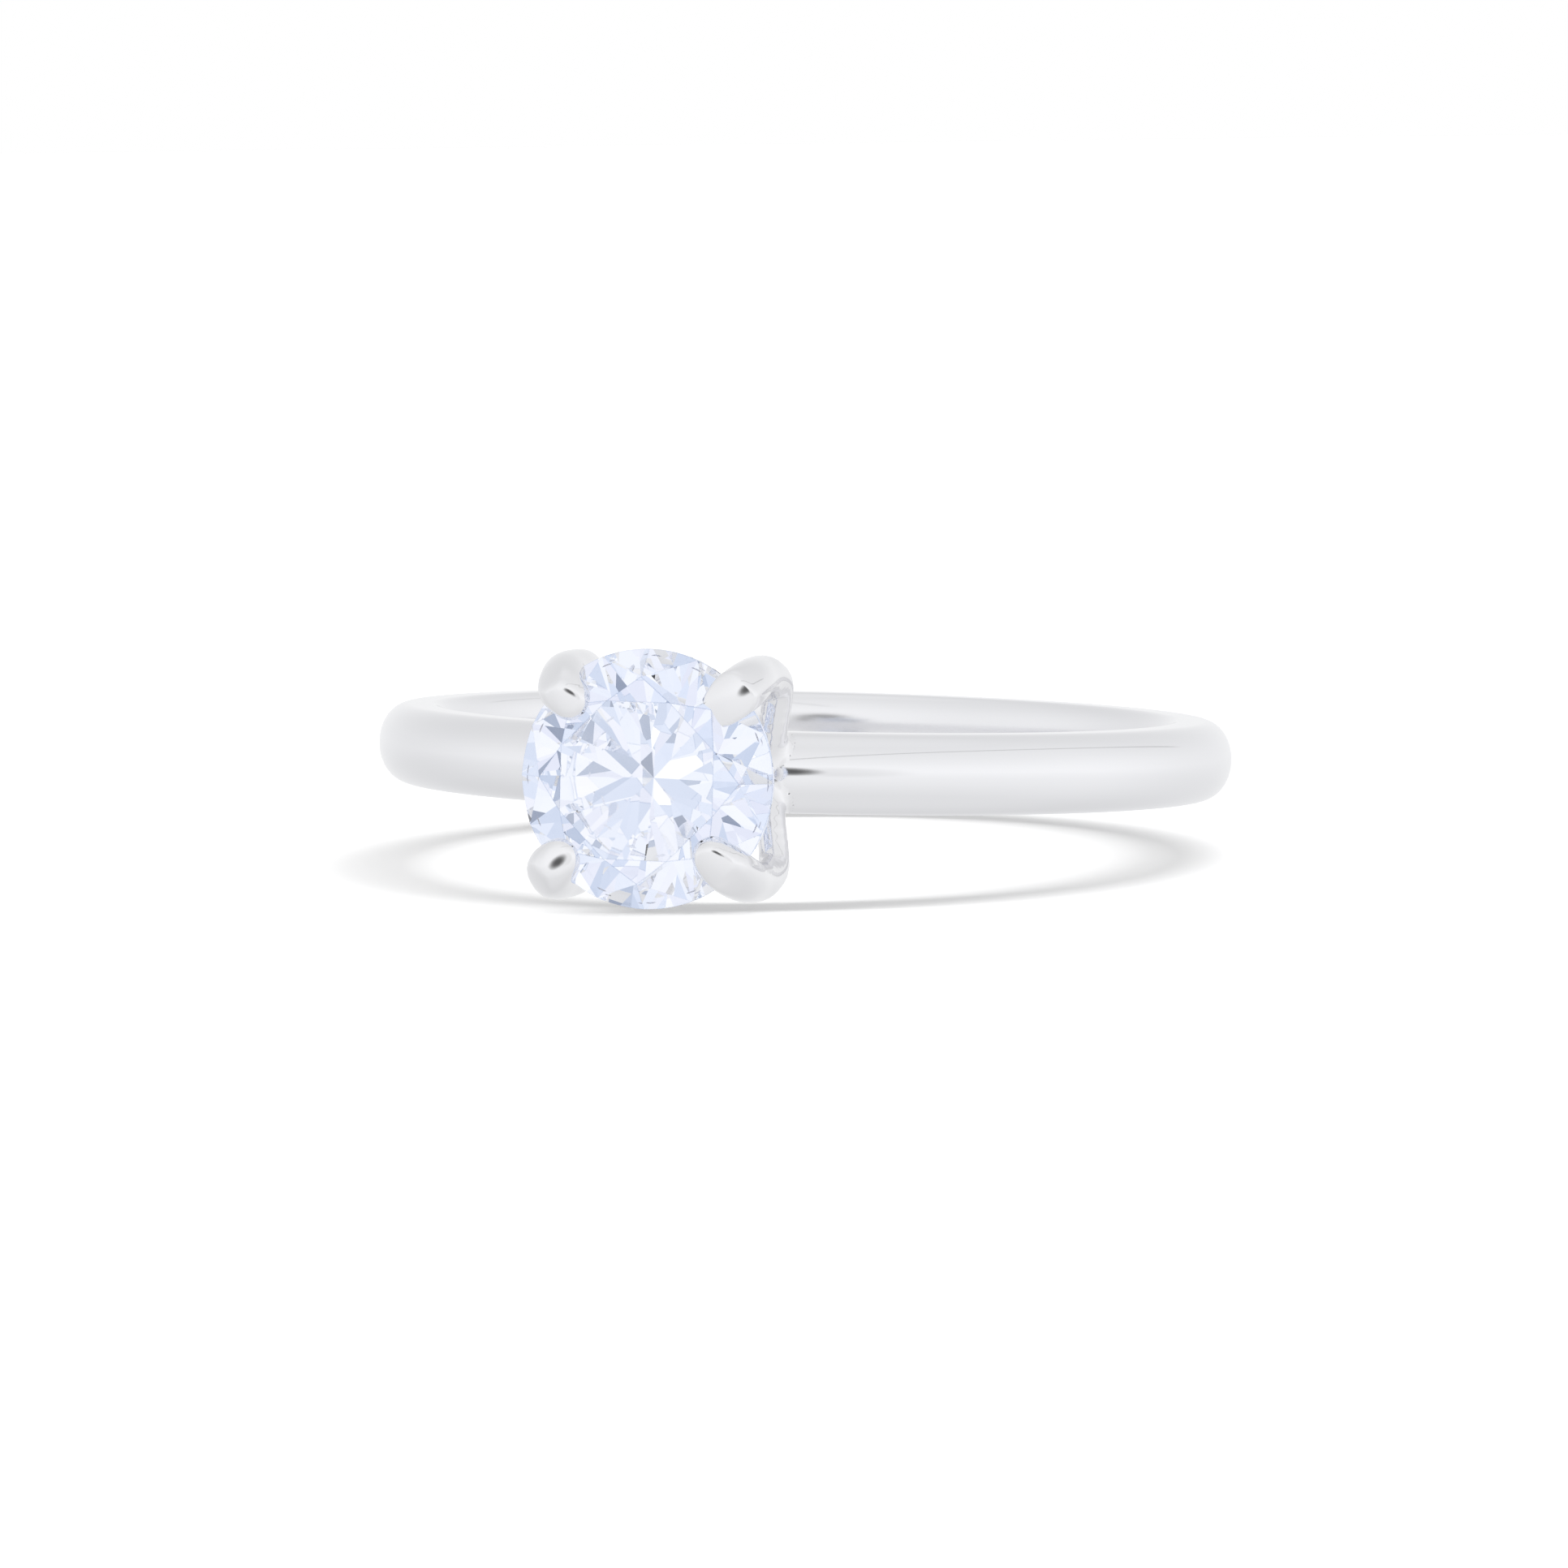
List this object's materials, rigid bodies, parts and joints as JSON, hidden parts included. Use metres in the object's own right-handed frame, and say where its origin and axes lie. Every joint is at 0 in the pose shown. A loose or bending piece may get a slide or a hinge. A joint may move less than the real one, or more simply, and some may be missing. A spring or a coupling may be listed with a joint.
{
  "type": "engagement ring",
  "caption": "Plain polished white metal solitaire finger ring: a rounded band carries an open claw head with a clear round brilliant stone.",
  "frame": {"origin": "centre of the ring's bounding box; the finger's axis is parallel to +Z and passes 2.23 mm from the origin towards +Y", "axes": "+Z along the finger's axis, out of the ring's upper side face; -Y from the finger's axis out through the stone; +X across the head, to the right when the stone is seen from the front"},
  "size_m": [0.0204, 0.0248, 0.0058],
  "materials": {
    "white_gold": "mirror-polished white gold",
    "diamond": "polished facets, colourless"
  },
  "bodies": {
    "root": {"shank": "white_gold", "head_base": "white_gold", "gallery_rail": "white_gold", "claw_upper_left": "white_gold", "claw_upper_right": "white_gold", "claw_lower_left": "white_gold", "claw_lower_right": "white_gold", "diamond": "diamond"}
  },
  "joints": []
}
